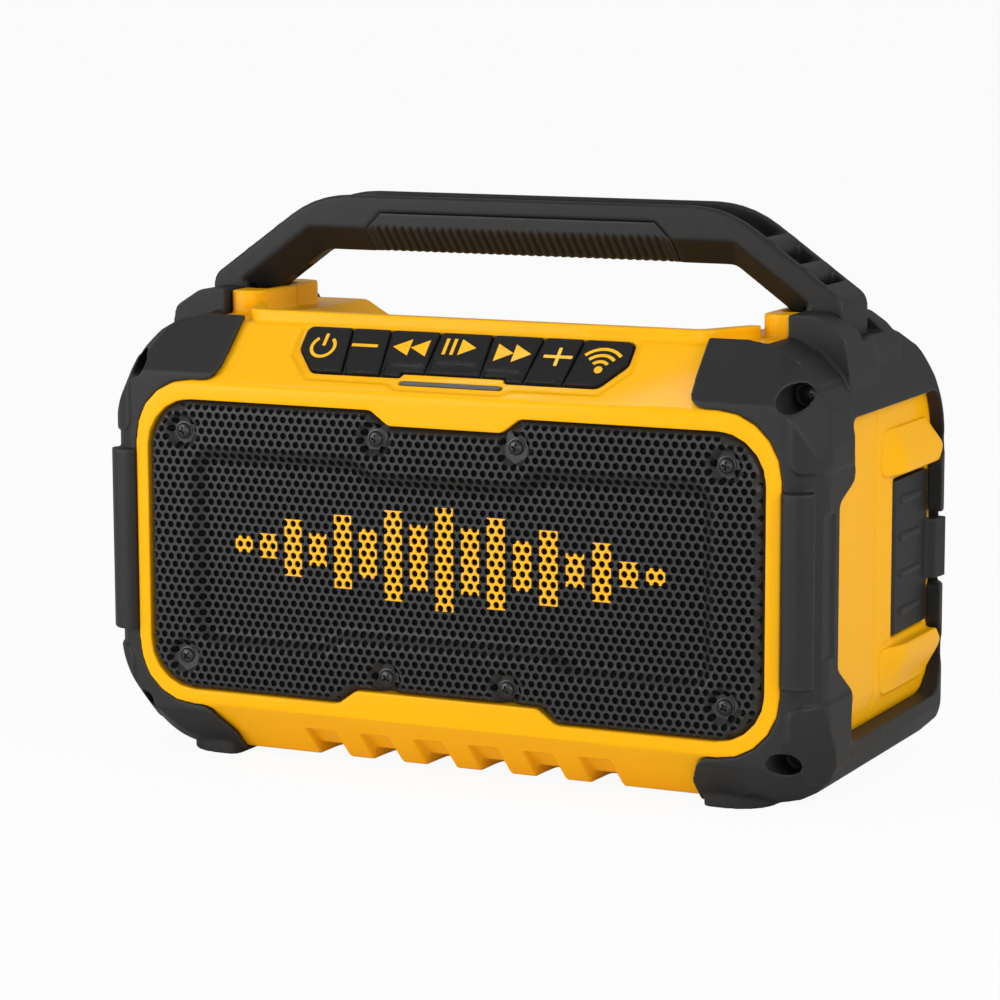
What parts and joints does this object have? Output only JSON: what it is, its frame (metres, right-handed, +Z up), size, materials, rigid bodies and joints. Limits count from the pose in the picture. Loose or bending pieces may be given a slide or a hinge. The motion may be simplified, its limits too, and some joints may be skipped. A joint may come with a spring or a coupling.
{
  "type": "jobsite wireless speaker",
  "caption": "Portable jobsite speaker: moulded yellow housing, wrap-round rubber end bumpers, bridge carry handle, pressed perforated grille, key panel and hinged side port cover.",
  "frame": {"origin": "on the ground under the middle of the speaker", "axes": "+X to the right seen from the front, +Y to the back, +Z up; the grille faces -Y"},
  "size_m": [0.2646, 0.1408, 0.194],
  "materials": {
    "yellow_plastic": "moulded, satin gloss",
    "bumper_rubber": "matt, finely grained",
    "handle_plastic": "moulded, finely grained",
    "grille_metal": "black powder coat",
    "black_screw": "black",
    "key_rubber": "matt",
    "lens_plastic": "smoked",
    "circuit_board": "solder mask",
    "screw_steel": "zinc plated",
    "black_plastic": "moulded",
    "foam_gasket": "soft",
    "basket_metal": "pressed and painted",
    "magnet_iron": "ferrite and steel",
    "cone_plastic": "moulded",
    "coil_copper": "wound wire",
    "sink_aluminium": "extruded",
    "blade_brass": "stamped",
    "dust_cloth": "fine black weave"
  },
  "bodies": {
    "chassis": {"front_housing": "yellow_plastic", "rear_housing": "yellow_plastic", "left_bumper": "bumper_rubber", "right_bumper": "bumper_rubber", "carry_handle": "handle_plastic", "handle_grip": "bumper_rubber", "handle_screws": "screw_steel", "speaker_grille": "grille_metal", "dust_cloth": "dust_cloth", "grille_screws": "black_screw", "keypad_mat": "key_rubber", "status_lens": "lens_plastic", "keypad_board": "circuit_board", "port_plate": "black_plastic", "audio_jack": "black_plastic", "usb_socket": "screw_steel", "power_jack": "black_plastic", "left_gasket": "foam_gasket", "left_basket": "basket_metal", "left_magnet": "magnet_iron", "left_surround": "foam_gasket", "right_gasket": "foam_gasket", "right_basket": "basket_metal", "right_magnet": "magnet_iron", "right_surround": "foam_gasket", "driver_screws": "screw_steel", "main_board": "circuit_board", "board_screws": "screw_steel", "heat_sink": "sink_aluminium", "battery_rails": "black_plastic", "terminal_block": "black_plastic", "terminal_blades": "blade_brass", "case_screws": "screw_steel"},
    "power_key_cap": {"power_key": "key_rubber"},
    "volume_down_key_cap": {"volume_down_key": "key_rubber"},
    "previous_key_cap": {"previous_key": "key_rubber"},
    "play_key_cap": {"play_key": "key_rubber"},
    "next_key_cap": {"next_key": "key_rubber"},
    "volume_up_key_cap": {"volume_up_key": "key_rubber"},
    "wireless_key_cap": {"wireless_key": "key_rubber"},
    "cover": {"port_cover": "bumper_rubber"},
    "left_diaphragm": {"left_cone": "cone_plastic", "left_dust_cap": "cone_plastic", "left_voice_coil": "coil_copper"},
    "right_diaphragm": {"right_cone": "cone_plastic", "right_dust_cap": "cone_plastic", "right_voice_coil": "coil_copper"}
  },
  "joints": [
    {"name": "power_key_press", "type": "slide", "parent": "chassis", "child": "power_key_cap", "axis": [0, 0.7071, -0.7071], "range_m": [0, 0.001], "stiffness_N_per_m": 1500},
    {"name": "volume_down_key_press", "type": "slide", "parent": "chassis", "child": "volume_down_key_cap", "axis": [0, 0.7071, -0.7071], "range_m": [0, 0.001], "stiffness_N_per_m": 1500},
    {"name": "previous_key_press", "type": "slide", "parent": "chassis", "child": "previous_key_cap", "axis": [0, 0.7071, -0.7071], "range_m": [0, 0.001], "stiffness_N_per_m": 1500},
    {"name": "play_key_press", "type": "slide", "parent": "chassis", "child": "play_key_cap", "axis": [0, 0.7071, -0.7071], "range_m": [0, 0.001], "stiffness_N_per_m": 1500},
    {"name": "next_key_press", "type": "slide", "parent": "chassis", "child": "next_key_cap", "axis": [0, 0.7071, -0.7071], "range_m": [0, 0.001], "stiffness_N_per_m": 1500},
    {"name": "volume_up_key_press", "type": "slide", "parent": "chassis", "child": "volume_up_key_cap", "axis": [0, 0.7071, -0.7071], "range_m": [0, 0.001], "stiffness_N_per_m": 1500},
    {"name": "wireless_key_press", "type": "slide", "parent": "chassis", "child": "wireless_key_cap", "axis": [0, 0.7071, -0.7071], "range_m": [0, 0.001], "stiffness_N_per_m": 1500},
    {"name": "cover_hinge", "type": "hinge", "parent": "chassis", "child": "cover", "pos_m": [0.125, 0.0239, 0.073], "axis": [0, 0, -1], "range_deg": [0, 100]},
    {"name": "left_diaphragm_drive", "type": "slide", "parent": "chassis", "child": "left_diaphragm", "axis": [0, -1, 0], "range_m": [-0.002, 0.002], "stiffness_N_per_m": 1500},
    {"name": "right_diaphragm_drive", "type": "slide", "parent": "chassis", "child": "right_diaphragm", "axis": [0, -1, 0], "range_m": [-0.002, 0.002], "stiffness_N_per_m": 1500}
  ]
}
